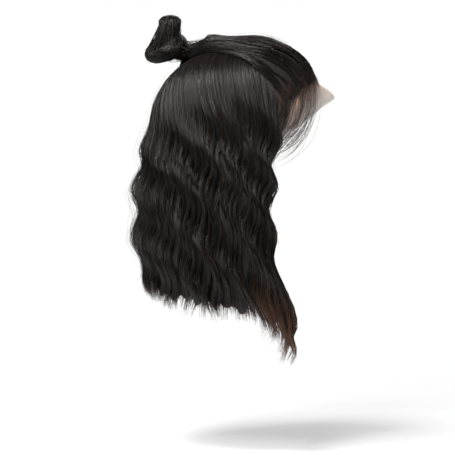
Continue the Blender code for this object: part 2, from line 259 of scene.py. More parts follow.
def hanging(around, share, depth, shift=0.0, strength=1.0):
    """The base plus its normal times clearance, thickness share and wave, and a sideways swing.

    The wave's phase is the drop less 1.3 times the way forward of the back, over the wave
    length, and it grows in below the crown. A hair's own shift counts for less outwards than
    sideways.
    """
    around, share, depth = np.broadcast_arrays(around, share, depth)
    points, normals = hanging_base(around, share)
    drop = -points[..., 2]
    grown = smooth((drop - 0.55 * WAVE_START) / (0.9 * WAVE_START)) * strength
    slanted = drop - WAVE_SLANT * (FORM[1] - points[..., 1]) - WAVE_START
    phase = 2 * np.pi * slanted / WAVE_LENGTH + shift
    out = CLEARANCE + hanging_thickness(around, drop) * depth
    out = out + WAVE_OUT * grown * (1 + np.sin(phase - 0.2 * shift))
    aside = unit(np.cross((0.0, 0.0, 1.0), normals))
    swing = np.clip(around / 25, -1, 1) * WAVE_ASIDE * grown * np.cos(phase)
    return points + normals * out[..., None] + aside * swing[..., None], normals


# Cap and lace


def cap_place(across, along):
    """Rear cap: a turn from the seam to the nape, and the ear edge's share aside."""
    turn = mix(SEAM + SEAM_GAP, NAPE, along)
    return on_form(over_top(turn, across * np.interp(turn, EAR_TURN, EAR_ASIDE)))


def lace_place(across, along):
    """Lace: a turn from its front edge to the seam, plus the tab's push outwards.

    The edge's turn depends on how far aside the point is, and that on the turn, so the two are
    worked out in four rounds.
    """
    seam = SEAM - SEAM_GAP
    turn = np.full_like(across, seam)
    for _ in range(4):
        aside = across * np.interp(turn, EAR_TURN, EAR_ASIDE)
        edge = np.interp(np.abs(aside), HAIRLINE_ASIDE, LACE_EDGE_TURN)
        turn = mix(edge, seam, along)
    aside = across * np.interp(turn, EAR_TURN, EAR_ASIDE)
    hairline = np.interp(np.abs(aside), HAIRLINE_ASIDE, HAIRLINE_TURN)
    beyond = smooth((hairline - turn) / (hairline - edge)) * np.exp(-((aside / TAB_SPREAD) ** 2))
    push = unit(np.array([0.0, -0.85, 0.52])) * TAB_REACH
    return on_form(over_top(turn, aside)) + push * beyond[..., None]


# Knot


def coil(turn):
    """The coil's middle line, a leaning ellipse round the knot, its thickness, and its axis."""
    normal = np.array([0.0, -DOWNHILL[2], DOWNHILL[1]])
    near = np.array([-1.0, 0.0, 0.0]) * math.cos(LEAN) - normal * math.sin(LEAN)
    back = 0.5 + 0.5 * np.cos(turn)
    short = (COIL_SHORT + 1.2 * MM * back) * np.cos(turn)
    line = KNOT + DOWNHILL * short[..., None] + near * (COIL_LONG * np.sin(turn))[..., None]
    return line, COIL_THICK * (1 - 0.10 * back + 0.07 * np.sin(turn)), normal


def round_coil(turn, phi):
    """The coil at a turn: middle line, radii, ways forward and sideways, and out at phi round."""
    line, radii, normal = coil(turn)
    forward = unit(coil(turn + 0.01)[0] - line)
    side = unit(normal - forward * (normal * forward).sum(-1, keepdims=True))
    out = side * np.cos(phi)[..., None] + np.cross(forward, side) * np.sin(phi)[..., None]
    return line, radii, forward, side, out


def loop_course():
    """One leg up from the tie, a half ellipse over the top, and the mirrored leg down again.

    It leans to the wearer's right as it rises.
    """
    start = LOOP_LEG[-1]
    rise = LOOP_TOP - start[3] - start[2]
    turn = np.pi * np.arange(1, 10) / 10
    arch = np.tile(start, (9, 1))
    arch[:, 0] = start[0] * np.cos(turn)
    arch[:, 1] -= LOOP_SAG * np.sin(turn)
    arch[:, 2] += rise * np.sin(turn)
    course = np.concatenate([LOOP_LEG, arch, LOOP_LEG[::-1] * (-1, 1, 1, 1, 1)])
    course[:, 0] -= LOOP_LEAN * smooth((course[:, 2] - 2) / 22)
    return course * MM


def resample(line, count):
    """A line's columns at even steps of its length, through a smooth curve of its points."""
    from_start = np.r_[0, np.cumsum(np.linalg.norm(np.diff(line[:, :3], axis=0), axis=1))]
    slopes = np.gradient(line, from_start, axis=0)
    at = np.linspace(0, from_start[-1], count)
    low = np.clip(np.searchsorted(from_start, at, side="right") - 1, 0, len(line) - 2)
    span = (from_start[low + 1] - from_start[low])[:, None]
    t = ((at - from_start[low]) / span[:, 0])[:, None]
    return (
        line[low] * (2 * t**3 - 3 * t**2 + 1)
        + slopes[low] * span * (t**3 - 2 * t**2 + t)
        + line[low + 1] * (3 * t**2 - 2 * t**3)
        + slopes[low + 1] * span * (t**3 - t**2)
    )


# Meshes


def placed(name, data):
    """An object that holds the data, linked into the scene."""
    made = bpy.data.objects.new(name, data)
    bpy.context.scene.collection.objects.link(made)
    return made


def mesh_piece(name, points, quads, triangles, uvs, material, slot, *nodes):
    """A smooth mesh from arrays: points, quads, then triangles, with one UV for each corner."""
    mesh = bpy.data.meshes.new(name)
    corners = np.concatenate([quads.ravel(), triangles.ravel()]).astype(np.int32)
    sizes = np.repeat([4, 3], [len(quads), len(triangles)])
    starts = (np.cumsum(sizes) - sizes).astype(np.int32)
    mesh.vertices.add(len(points))
    mesh.vertices.foreach_set("co", points.astype(np.float32).ravel())
    mesh.loops.add(len(corners))
    mesh.loops.foreach_set("vertex_index", corners)
    mesh.polygons.add(len(starts))
    mesh.polygons.foreach_set("loop_start", starts)
    mesh.update(calc_edges=True)
    mesh.uv_layers.new(name="OFBake").data.foreach_set("uv", uvs.astype(np.float32).ravel())
    mesh.shade_smooth()
    mesh.materials.append(material)
    made = placed(name, mesh)
    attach(made, "root")
    if nodes:
        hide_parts(*nodes)
    return made


def grid_quads(rows, columns, first=0):
    """Quads of a grid whose normals follow rows crossed with columns."""
    at = np.arange(rows * columns).reshape(rows, columns) + first
    return np.stack([at[:-1, :-1], at[1:, :-1], at[1:, 1:], at[:-1, 1:]], -1).reshape(-1, 4)


def closed_sheet(name, outer, inner, material, slot, *nodes):
    """Two grids a wall apart, joined round their rims. Rows run along, columns across.

    In the UV the outer grid lies in the left half and the inner one in the right half.
    """
    rows, columns = outer.shape[:2]
    count = rows * columns
    front = grid_quads(rows, columns)
    back = grid_quads(rows, columns, count)[:, ::-1]
    at = np.arange(count).reshape(rows, columns)
    rim = np.concatenate([at[0, :-1], at[:-1, -1], at[-1, :0:-1], at[:0:-1, 0]])
    after = np.roll(rim, -1)
    wall = np.stack([rim, after, after + count, rim + count], -1)
    quads = np.concatenate([front, back, wall])
    v, u = np.meshgrid(np.linspace(0, 1, rows), np.linspace(0, 1, columns), indexing="ij")
    place = np.stack([u, v], -1).reshape(-1, 2)
    place = np.concatenate([place * (0.49, 1), place * (0.49, 1) + (0.5, 0)])
    uvs = place[quads]
    flat = len(front) + len(back)
    uvs[flat:, 2:] = uvs[flat:, 1::-1] + (0.002, 0.002)
    points = np.concatenate([outer.reshape(-1, 3), inner.reshape(-1, 3)])
    return mesh_piece(name, points, quads, np.empty((0, 3), int), uvs, material, slot, *nodes)


def frames(line, sideways, closed):
    """Two ways across a line: sideways at right angles to it, and across both."""
    along = np.roll(line, -1, 0) - np.roll(line, 1, 0) if closed else np.gradient(line, axis=0)
    forward = unit(along)
    side = unit(sideways - forward * (sideways * forward).sum(-1, keepdims=True))
    return side, np.cross(forward, side)


def tube(name, line, wide, deep, sideways, material, slot, closed, *nodes):
    """A ring of 24 points round each place of a line, wide sideways and deep across that.

    A closed line joins up with itself, and an open one ends in two fans.
    """
    steps, around = len(line), 24
    side, other = frames(line, sideways, closed)
    turn = np.arange(around) * 2 * np.pi / around
    ring = (side * wide[:, None])[:, None] * np.cos(turn)[:, None]
    ring = ring + (other * deep[:, None])[:, None] * np.sin(turn)[:, None]
    points = (line[:, None] + ring).reshape(-1, 3)
    at = np.arange(steps * around).reshape(steps, around)
    ahead = np.roll(at, -1, 0) if closed else at[1:]
    at = at if closed else at[:-1]
    beside = np.roll(at, -1, 1)
    quads = np.stack([at, beside, np.roll(ahead, -1, 1), ahead], -1).reshape(-1, 4)
    u, v = np.arange(around) / around, np.arange(len(at)) / len(at)
    corner = np.stack(np.meshgrid(u, v), -1).reshape(-1, 1, 2)
    step = np.array([[0, 0], [1 / around, 0], [1 / around, 1 / len(at)], [0, 1 / len(at)]])
    uvs = corner + step
    triangles = np.empty((0, 3), int)
    if not closed:
        points = np.concatenate([points, line[[0, -1]]])
        ends, last = np.arange(around), (steps - 1) * around
        low = np.stack([np.full(around, steps * around), np.roll(ends, -1), ends], -1)
        high = np.stack([np.full(around, steps * around + 1), ends, np.roll(ends, -1)], -1)
        high[:, 1:] += last
        triangles = np.concatenate([low, high])
        fan = np.stack([u, u + 1 / around], -1)
        cap_uv = np.stack([np.c_[fan.mean(1), fan], np.zeros((around, 3))], -1)
        cap_uv[:, 0, 1] = 0.01
        cap_uv = cap_uv.reshape(-1, 2)
        uvs = np.concatenate([uvs.reshape(-1, 2), cap_uv, 1 - cap_uv])
    return mesh_piece(name, points, quads, triangles, uvs, material, slot, *nodes)


def strands(name, paths, outward, width, tone, reach, material, roll=0.45):
    """Closed three-sided hairs, each along its own path.

    At each place of a path a small triangle stands across it, one corner roughly outwards. It is
    as wide as the hair and about half as deep, and tapers over the last tenth to a fine tip. A
    hair's UV is its tone and its place from root to tip, times its reach.
    """
    count, steps = paths.shape[:2]
    forward = unit(np.gradient(paths, axis=1))
    side = unit(np.cross(forward, outward))
    up = np.cross(side, forward)
    share = np.linspace(0, 1, steps)
    taper = (0.55 + 0.45 * smooth(share / 0.08)) * (1 - 0.85 * smooth((share - 0.9) / 0.1))
    half = np.broadcast_to(width, count)[:, None] / 2 * taper
    turn = np.radians([90.0, 210.0, 330.0]) + rng.normal(0, roll, (count, 1))
    turn = turn[:, None, :, None]
    ring = side[:, :, None] * np.cos(turn) + up[:, :, None] * (0.55 * np.sin(turn))
    points = (paths[:, :, None] + ring * half[..., None, None]).reshape(-1, 3)
    at = np.arange(count * steps * 3).reshape(count, steps, 3)
    here, beside = at[:, :-1], np.roll(at, -1, 2)[:, :-1]
    quads = np.stack([here, here + 3, beside + 3, beside], -1).reshape(-1, 4)
    ends = np.concatenate([at[:, 0], at[:, -1, ::-1]])
    u = (np.clip(tone, 0, 1) * 0.99)[:, None, None] + np.tile([0.0, 0.002, 0.001], (steps, 1))
    v = (np.broadcast_to(reach, count)[:, None] * share * 0.99)[..., None] + np.zeros(3)
    place = np.stack([u, v], -1).reshape(-1, 2)
    end_uv = place[ends]
    end_uv[:, 2, 1] += 0.004
    uvs = np.concatenate([place[quads].reshape(-1, 2), end_uv.reshape(-1, 2)])
    return mesh_piece(name, points, quads, ends, uvs, material, "hair")


def column(low, high, count):
    """A random number between low and high for each hair, as a column."""
    return rng.uniform(low, high, (count, 1))


def sides(count, right=0.5):
    """For each hair -1 on the wearer's right, for that share of them, or else 1."""
    return np.where(rng.random(count) < right, -1.0, 1.0)


def wander(count, steps, size, waves=2.0):
    """A slow sideways drift for each hair: two sines of random phase, growing along it."""
    share = np.linspace(0, 1, steps)
    phase = rng.uniform(0, 2 * np.pi, (2, count, 1))
    pace = waves * rng.uniform(0.6, 1.4, (2, count, 1))
    drift = np.sin(2 * np.pi * pace[0] * share + phase[0])
    drift = drift + 0.5 * np.sin(4 * np.pi * pace[1] * share + phase[1])
    return size * drift * (0.3 + 0.7 * share)


# Materials


class Wire:
    """An output of a node. Sums, differences and products with numbers or wires add Math nodes."""

    def __init__(self, tree, socket):
        self.tree, self.socket = tree, socket

    def out(self, name):
        """Another output of the same node, by its name or number."""
        return Wire(self.tree, self.socket.node.outputs[name])

    def math(self, operation, *values):
        """One Math node on the values, or else on this wire alone."""
        values = values or (self,)
        return self.tree.node("Math", {"operation": operation}, dict(enumerate(values)))

    def __add__(self, other):
        return self.math("ADD", self, other)

    def __sub__(self, other):
        return self.math("SUBTRACT", self, other)

    def __rsub__(self, other):
        return self.math("SUBTRACT", other, self)

    def __mul__(self, other):
        return self.math("MULTIPLY", self, other)

    __radd__, __rmul__ = __add__, __mul__

    def eased(self, low, high):
        """0 at low to 1 at high with level ends."""
        settings = {"interpolation_type": "SMOOTHSTEP"}
        sockets = {"Value": self, "From Min": low, "From Max": high}
        return self.tree.node("MapRange", settings, sockets)


class Tree:
    """The nodes of a material or of the surroundings."""

    def __init__(self, nodes):
        self.made = nodes

    def node(self, kind, settings=(), sockets=()):
        """Any node: its type, then its settings, then the values or wires of its sockets."""
        made = self.made.nodes.new("ShaderNode" + kind)
        for key, value in dict(settings).items():
            setattr(made, key, value)
        for key, value in dict(sockets).items():
            if isinstance(value, Wire):
                self.made.links.new(made.inputs[key], value.socket)
            else:
                made.inputs[key].default_value = value
        return Wire(self, next(iter(made.outputs), None))

    def blend(self, share, first, second):
        """A colour between two colours."""
        return self.node("Mix", {"data_type": "RGBA"}, {0: share, 6: first, 7: second}).out(2)


class Finish(Tree):
    """A material under way. Its shader's constants are set straight on the shader."""

    def __init__(self, name, **constants):
        self.material = bpy.data.materials.new(name)
        self.material.use_nodes = True
        super().__init__(self.material.node_tree)
        self.shader = self.made.nodes["Principled BSDF"]
        for socket, value in constants.items():
            self.shader.inputs[socket.replace("_", " ")].default_value = value

    def place(self):
        """The piece's own UV, whole and as its two numbers."""
        uv = self.node("UVMap", {"uv_map": "OFBake"})
        parts = self.node("SeparateXYZ", (), {0: uv})
        return uv, parts.out("X"), parts.out("Y")

    def noise(self, uv, columns, rows, detail):
        """Flat noise with so many columns and rows over the UV."""
        stretched = self.node("Mapping", (), {"Vector": uv, "Scale": (columns, rows, 1)})
        flat = {"noise_dimensions": "2D"}
        return self.node("TexNoise", flat, {"Vector": stretched, "Detail": detail})

    def feed(self, **sockets):
        """Links wires to the shader's own sockets."""
        for name, wire in sockets.items():
            self.made.links.new(wire.socket, self.shader.inputs[name.replace("_", " ")])
        return self.material


ROOT_BLACK = (0.0062, 0.0046, 0.0038, 1)
DARK_BROWN = (0.027, 0.0165, 0.0118, 1)
TIP_BROWN = (0.185, 0.088, 0.050, 1)
# Colours of the hair under the strands: painted shade, darker than the strands' own black and
# brown.
BED_PAINTED_SHADE_BLACK = (0.0035, 0.0027, 0.0023, 1)
BED_PAINTED_SHADE_BROWN = (0.015, 0.010, 0.0075, 1)


def hair_material(name, tip_start=0.66, lift=0.0, tip_share=1.0, gloss=0.5, rough=0.33):
    """Strand hair: black to dark brown by tone, browner to the tips, glossy with fine mottle."""
    made = Finish(name, IOR=1.55, Specular_IOR_Level=gloss)
    uv, tone, along = made.place()
    mottle = made.noise(uv, 60, 7, 2.0)
    shade = tone * 0.75 + mottle * 0.35 + (lift - 0.12)
    colour = made.blend(shade.eased(0.0, 1.0), ROOT_BLACK, DARK_BROWN)
    tip = (along + tone * 0.06).eased(tip_start, 1.03) * tip_share
    colour = made.blend(tip, colour, TIP_BROWN)
    return made.feed(Base_Color=colour, Roughness=mottle * 0.16 - tone * 0.14 + rough)


def bed_material(name, columns):
    """Hair under the strands, painted darker than the strands as shade deep in the hair: fine
    streaks along it, with their own relief.
    """
    made = Finish(name, IOR=1.55)
    uv, _, _ = made.place()
    shade = made.noise(uv, columns, 5, 3.0) * 0.7 + made.noise(uv, columns / 9, 2.5, 1.0) * 0.3
    colour = made.blend(shade.eased(0.3, 0.8), BED_PAINTED_SHADE_BLACK, BED_PAINTED_SHADE_BROWN)
    bump = made.node("Bump", (), {"Height": shade, "Strength": 0.6, "Distance": 0.0012})
    return made.feed(Base_Color=colour, Roughness=shade * 0.2 + 0.55, Normal=bump)


HAIR = hair_material("dark_hair", rough=0.30)
CROWN_HAIR = hair_material("swept_hair", tip_share=0.0, rough=0.27)
# The knot's hair is a darker copy of the same hair: its negative lift is painted shade.
KNOT_HAIR = hair_material("knot_hair", lift=-0.30, tip_share=0.0, gloss=0.32, rough=0.25)
WISP_HAIR = hair_material("fine_hairline_hair", tip_start=0.15, lift=0.5)
BED = bed_material("hair_bed", 420)
ROPE_BED = bed_material("knot_bed", 60)


def net_material():
    """Dark stretch net: a fine two-way weave with raised rows that the hair is sewn to."""
    made = Finish("cap_net", Sheen_Weight=0.15)
    _, across, along = made.place()
    warp, weft = (across * 1400).math("SINE"), (along * 900).math("SINE")
    weave = warp * weft * 0.5 + 0.5
    row = (along * 110).math("SINE").eased(0.55, 0.95)
    shade = made.blend(weave, (0.018, 0.015, 0.014, 1), (0.060, 0.050, 0.045, 1))
    shade = made.blend(row * 0.7, shade, (0.016, 0.013, 0.012, 1))
    height = weave * 0.4 + row
    bump = made.node("Bump", (), {"Height": height, "Strength": 0.5, "Distance": 0.0006})
    return made.feed(Base_Color=shade, Roughness=weave * 0.15 + 0.75, Normal=bump)


def lace_material():
    """Sheer lace: a fine diamond net, denser on its threads, with hair knots at the hairline."""
    made = Finish("lace", Sheen_Weight=0.2)
    uv, across, along = made.place()
    one = (across * 620 + along * 220).math("SINE").math("ABSOLUTE")
    two = (across * 620 - along * 220).math("SINE").math("ABSOLUTE")
    thread = one.math("MAXIMUM", one, two).eased(0.72, 0.95)
    patch = made.node("TexNoise", (), {"Vector": uv, "Scale": 14.0, "Detail": 2.0})
    knots = made.node("TexVoronoi", (), {"Vector": uv, "Scale": 160.0}).out("Distance")
    knot = along.eased(0.16, 0.34) * (1 - knots.eased(0.25, 0.42))
    near = along.eased(0.0, 0.30)
    colour = made.blend(patch, (0.80, 0.69, 0.60, 1), (0.92, 0.82, 0.73, 1))
    colour = made.blend(near * 0.9, colour, (0.70, 0.42, 0.28, 1))
    colour = made.blend(knot, colour, (0.045, 0.026, 0.018, 1))
    clear = thread * 0.20 + patch * 0.06 + near * 0.40 + 0.18 + knot * 0.25
    bump = made.node("Bump", (), {"Height": thread, "Strength": 0.4, "Distance": 0.0003})
    return made.feed(Base_Color=colour, Alpha=clear, Roughness=thread * 0.1 + 0.72, Normal=bump)


def elastic_material():
    """Matt black elastic with a fine grain."""
    made = Finish("elastic", Specular_IOR_Level=0.3)
    place = made.node("TexCoord").out("Object")
    noise = made.node("TexNoise", (), {"Vector": place, "Scale": 1800.0, "Detail": 1.0})
    colour = made.blend(noise, (0.010, 0.010, 0.010, 1), (0.030, 0.029, 0.029, 1))
    bump = made.node("Bump", (), {"Height": noise, "Strength": 0.5, "Distance": 0.0004})
    return made.feed(Base_Color=colour, Roughness=noise * 0.2 + 0.6, Normal=bump)


# Cap and lace

NET, LACE = net_material(), lace_material()


def build_cap():
    """Rear cap and lace panel, each two grids a wall apart."""
    along, across = along_across(48, 48)
    inner = cap_place(across, along)
    outer = inner + form_normal(inner) * CAP_WALL
    cap = closed_sheet("stretch_cap", outer, inner, NET, "cap_net", "cap")
    along, across = along_across(40, 72)
    inner = lace_place(across, along)
    outward = unit(np.cross(np.gradient(inner, axis=0), np.gradient(inner, axis=1)))
    outer = inner + outward * LACE_WALL
    lace = closed_sheet("lace_panel", outer, inner, LACE, "lace", "lace_front")


# Hanging hair


def hanging_bed():
    """A closed sheet between the cap and most of the depth, thinning to its rims.

    Its hem is a little uneven and stops short of the strands' tips, most of all at the front.
    """
    share, across = along_across(84, 130)
    around = across * (FRONT_EDGE - 2)
    hem = 0.950 + 0.012 * np.sin(around * 0.9) + 0.010 * np.sin(around * 0.47 + 2)
    share = mix(-0.03, hem - 0.075 * smooth((np.abs(around) - 80) / 20), share)
    rim = smooth((FRONT_EDGE - np.abs(around)) / 14) * (1 - 0.85 * smooth((share - 0.74) / 0.2))
    rim = rim * (0.1 + 0.9 * smooth((share + 0.02) / 0.26))
    outer, _ = hanging(around, share, mix(0.17, 0.62, rim))
    inner, _ = hanging(around, share, mix(0.11, 0.10, rim))
    locks = [f"hanging_lock_{side}_{k}" for side in ("right", "left") for k in range(1, 9)]
    closed_sheet("hanging_hair_bed", outer, inner, BED, "hair", *locks)


def hanging_layer(count, steps, spacing, deep, shallow, width, narrowing=0.38, offset=0.0):
    """Strands in clumps. Returns paths, outward ways, widths, tones, reaches and clump places.

    A strand keeps its place in its clump, which narrows on the way down: around is the big
    lock's middle, plus the clump's place in it, plus the strand's place in the clump, the last
    two each times one less a pull that grows to the tip. The root stands up to 23 degrees
    further back. Depth falls off by the third power across a lock and the square across a clump.
    """
    edges = np.r_[0, np.cumsum(LOCK_WIDTHS)]
    middles = FRONT_EDGE - (edges[:-1] + edges[1:]) / 2
    middles = np.r_[middles, -middles]
    halves = np.r_[np.diff(edges), np.diff(edges)] / 2.0
    places = np.arange(-FRONT_EDGE + spacing / 2 + offset, FRONT_EDGE, spacing)
    places = places + rng.uniform(-0.22, 0.22, len(places)) * spacing
    nearest = np.abs(places[:, None] - middles).argmin(1)
    clumps = len(places)
    clump_shift = 0.35 * np.sin(places * 0.11 + 1.3) + rng.normal(0, 0.22, clumps)
    clump_wave = rng.uniform(0.75, 1.3, clumps)
    clump_depth = rng.normal(-0.02, 0.075, clumps).clip(-0.15, 0.03)
    clump_length = rng.uniform(-0.025, 0.015, clumps)
    clump_tone = rng.normal(0, 0.15, clumps)
    locks = len(middles)
    lock_shift, lock_phase = rng.normal(0, 0.5, locks), rng.uniform(0, 2 * np.pi, (2, locks))
    lock_length = rng.uniform(-0.015, 0.012, locks)

    which = rng.integers(0, clumps, count)
    inside = rng.uniform(-1, 1, count)
    place, lock = places[which], nearest[which]
    middle, half = middles[lock], halves[lock]
    share = np.linspace(0, 1, steps)
    ends = 1.0 + clump_length[which] + lock_length[lock] - 0.045 * rng.random(count) ** 1.5
    start = -0.065 + 0.045 * rng.random(count)
    run = start[:, None] + (ends - start)[:, None] * share
    down = np.clip(run, 0, 1)
    fore = smooth((np.abs(place) - 84) / 20)[:, None]
    tips = smooth((down - 0.82) / 0.18)
    pull_lock = 0.10 * smooth((down - 0.45) / 0.4) + mix(0.04, 0.24, fore) * tips
    pull_clump = 0.10 + narrowing * smooth((down - 0.08) / 0.5) + mix(0.02, 0.10, fore) * tips
    around = (
        middle[:, None]
        + (place - middle)[:, None] * (1 - pull_lock)
        + (inside * spacing * 0.62)[:, None] * (1 - pull_clump)
    )
    fan = 23 * np.sin(np.pi * np.abs(around) / 118).clip(0) * (1 - smooth((run + 0.06) / 0.44))
    around = around - np.sign(around) * fan + wander(count, steps, 0.45)
    around = np.clip(around, -FRONT_EDGE - 1.5, FRONT_EDGE + 1.5)
    in_lock = np.clip(np.abs(place - middle) / half, 0, 1)[:, None]
    falloff = 1 - 0.30 * in_lock**3 * smooth(down / 0.4)
    falloff = falloff * (1 - 0.24 * (inside**2)[:, None] * smooth((down - 0.05) / 0.4))
    layer = (shallow - (shallow - deep) * rng.random(count) ** 1.3)[:, None]
    foot = np.minimum(0.12, layer)
    settled = mix(foot, layer + clump_depth[which][:, None], smooth((run + 0.09) / 0.24))
    tip = smooth((down - 0.86) / 0.14)
    depth = mix(settled * falloff, mix(0.4, 0.5, layer), 0.40 * tip)
    depth = depth + wander(count, steps, 0.018, 3.0)
    drift, swell = lock_phase[:, lock, None] + 0.02 * place[:, None]
    shift = (clump_shift[which] + lock_shift[lock] + rng.normal(0, 0.12, count))[:, None]
    shift = mix(shift + 0.6 * np.sin(6.6 * down + drift), 0.3 * shift, 0.8 * fore)
    strength = (clump_wave[which] * rng.uniform(0.85, 1.15, count))[:, None]
    strength = np.minimum(strength * (0.82 + 0.38 * np.sin(7.4 * down + swell)), 1.2)
    paths, outward = hanging(around, run, np.clip(depth, -0.03, 1.08), shift, strength)
    tone = np.clip(0.40 + clump_tone[which] + rng.normal(0, 0.22, count), 0.02, 0.98)
    front = smooth((np.abs(place) - 78) / 28)
    reach = mix(0.74, 1.0, front) * ends / 1.02 * rng.uniform(0.94, 1.0, count)
    widths = width * rng.uniform(0.75, 1.2, count)
    return paths, outward, widths, tone, np.clip(reach, 0, 1), place


def build_hanging():
    """The bed, two layers of strands in four pieces by where they grow, and one inside."""
    hanging_bed()
    layers = [
        hanging_layer(2000, 29, spacing=3.2, deep=0.78, shallow=1.02, width=0.72 * MM),
        hanging_layer(1000, 29, spacing=4.3, deep=0.50, shallow=0.84, width=0.88 * MM, offset=1.3),
    ]
    parts = [np.concatenate(rows) for rows in zip(*layers)]
    for name, low, high in (
        ("hanging_hair_right_front", -200, -58),
        ("hanging_hair_right_back", -58, 0),
        ("hanging_hair_left_back", 0, 58),
        ("hanging_hair_left_front", 58, 200),
    ):
        pick = (parts[-1] >= low) & (parts[-1] < high)
        strands(name, *(part[pick] for part in parts[:-1]), HAIR)
    inner = hanging_layer(
        340, 22, spacing=5.2, deep=-0.02, shallow=0.10, width=1.0 * MM, narrowing=0.30, offset=2.1
    )
    strands("hanging_hair_inside", *inner[:-1], HAIR)


# Swept hair


def build_swept():
    """The bed over the crown, then clumped strands combed back from the hairline to the tie.

    Three strands in five start at the hairline and the rest behind it. Each keeps its place in
    its clump, which narrows, and sways by sines that die out on the way. Depth is the strand's
    layer plus its clump's, and a bell curve lifts it before the tie.
    """
    along, across = along_across(56, 110)
    rim = smooth((1 - np.abs(across)) / 0.08) * smooth(along / 0.16)
    outer, _ = swept(across, along, mix(0.10, 0.60, rim))
    inner, _ = swept(across, along, np.full_like(along, 0.02))
    nodes = [f"swept_lock_{side}_{k}" for side in ("right", "left") for k in range(1, 5)]
    closed_sheet("swept_hair_bed", outer, inner, BED, "hair", *nodes)

    count, steps, spacing = 1200, 17, 0.042
    places = np.arange(-1 + spacing / 2, 1, spacing)
    places = places + rng.uniform(-0.25, 0.25, len(places)) * spacing
    clump_depth, clump_tone = rng.normal(0, 0.08, len(places)), rng.normal(0, 0.16, len(places))
    clump_phase = rng.uniform(0, 2 * np.pi, len(places))
    which = rng.integers(0, len(places), count)
    inside = rng.uniform(-1, 1, count)
    share = np.linspace(0, 1, steps)
    start = np.where(rng.random(count) < 0.6, 0.0, rng.uniform(0, 0.45, count))
    start = start + rng.uniform(-0.03, 0.025, count)
    run = start[:, None] + (1 - start)[:, None] * share
    early = 1 - smooth(run / 0.65)
    pull = 0.05 + 0.50 * smooth((run - 0.03) / 0.4)
    across = places[which][:, None] + (inside * spacing * 0.66)[:, None] * (1 - pull)
    phase = clump_phase[which][:, None]
    across = across + 0.042 * (np.sin(12 * run + phase) - np.sin(phase)) * early
    across = across + wander(count, steps, 0.007, 1.2)
    layer = 1.0 - 0.34 * rng.random(count) ** 1.2
    crown = 1 - 0.16 * (inside**2)[:, None] * smooth(run / 0.2)
    edge = 1 - 0.30 * smooth((np.abs(across) - 0.90) / 0.10)
    ripple = 0.28 * np.sin(14 * run + phase * 2) * early
    depth = layer[:, None] * crown + clump_depth[which][:, None] * (1.3 - run) + ripple
    depth = depth * edge * smooth((run - start[:, None]) / 0.11)
    across = np.clip(across, -1.0, 1.0)
    lift = 0.11 * np.exp(-(((run - 0.76) / 0.19) ** 2)) * (1 - across**2) * layer[:, None]
    depth = np.clip(depth, 0.0, 1.10) + lift
    paths, outward = swept(across, np.clip(run, -0.03, 1), depth)
    tone = np.clip(0.38 + clump_tone[which] + rng.normal(0, 0.17, count), 0, 1)
    widths = 0.72 * MM * rng.uniform(0.75, 1.2, count)
    strands("swept_hair", paths, outward, widths, tone, CROWN_REACH, CROWN_HAIR)


# Knot


def knot_strands(name, paths, outward, width):
    """Dark strands with coherent facets, so that the knot looks smooth. Their low tone is painted
    shade.
    """
    count = len(paths)
    tone = np.clip(0.18 + rng.normal(0, 0.16, count), 0, 1)
    widths = width * rng.uniform(0.75, 1.15, count)
    strands(name, paths, outward, widths, tone, CROWN_REACH, KNOT_HAIR, roll=0.3)


def build_coil():
    """A tube bed round the knot, with strands that run along it and wind slowly round it."""
    line, radii, normal = coil(np.arange(72) * 2 * np.pi / 72)
    thick = radii * 0.94
    tube("coil_bed", line, thick, thick, normal, ROPE_BED, "hair", True, "knot_wrap")

    count, steps = 270, 24
    begin = rng.uniform(0, 2 * np.pi, count)
    length = np.radians(rng.uniform(150, 270, count))
    share = np.linspace(0, 1, steps)
    turn = begin[:, None] + length[:, None] * share
    phi = column(0, 2 * np.pi, count) - WIND * (turn - begin[:, None])
    phi = phi + wander(count, steps, 0.06, 1.0)
    line, radii, _, _, out = round_coil(turn, phi)
    grooves = 1 - 0.05 * (0.5 + 0.5 * np.cos(7 * (phi + WIND * turn) + np.sin(3 * turn)))
    sunk = 1 - 0.12 * (1 - smooth(share / 0.12)) - 0.12 * smooth((share - 0.88) / 0.12)
    high = (column(0.95, 1.01, count) * grooves * sunk * radii)[..., None]
    knot_strands("coil_hair", line + out * high, out, 0.72 * MM)


def build_loop():
    """A tube bed up and over the loop, with strands that run along it."""
    course = resample(loop_course(), 64)
    line, deep, wide = course[:, :3], course[:, 3], course[:, 4]
    back = np.array([0.0, 1.0, 0.0])
    side, other = frames(line, back, False)
    low_wide, low_deep = wide * 0.94, deep * 0.94
    tube("loop_bed", line, low_wide, low_deep, back, ROPE_BED, "hair", False, "knot_loop")

    count, steps = 220, 26
    along = np.linspace(0, 1, steps) * column(0.80, 0.95, count)
    along = along + column(0, 1, count) * (1 - along[:, -1:])
    place = along * (len(line) - 1)
    low = np.clip(place.astype(int), 0, len(line) - 2)
    part = (place - low)[..., None]

    def between(rows):
        return mix(rows[low], rows[low + 1], part)

    phi = column(0, 2 * np.pi, count) + 0.9 * (along - 0.5)
    phi = phi + wander(count, steps, 0.06, 1.0)
    cosine, sine = np.cos(phi)[..., None], np.sin(phi)[..., None]
    wide, deep = between(wide[:, None]), between(deep[:, None])
    side, other = between(side), between(other)
    out = unit(side * cosine / wide + other * sine / deep)
    grooves = 1 - 0.025 * (0.5 + 0.5 * np.cos(9 * phi + 2 * np.sin(3 * phi)))
    high = (column(0.95, 1.01, count) * grooves)[..., None]
    paths = between(line) + (side * cosine * wide + other * sine * deep) * high
    knot_strands("loop_hair", paths, out, 0.68 * MM)


def onto_coil(name, points, away, on_coil, out, ahead, width):
    """Knot strands that cross to the coil by a cubic curve, in steps ahead, and lie along it."""
    begin, first, second = (point[:, None] for point in points)
    t = (np.arange(ahead) / ahead)[:, None]
    bridge = cubic(begin, first, second, on_coil[:, :1], t)
    way = np.concatenate([mix(away[:, None], out[:, :1], t), out], 1)
    knot_strands(name, np.concatenate([bridge, on_coil], 1), unit(way), width)


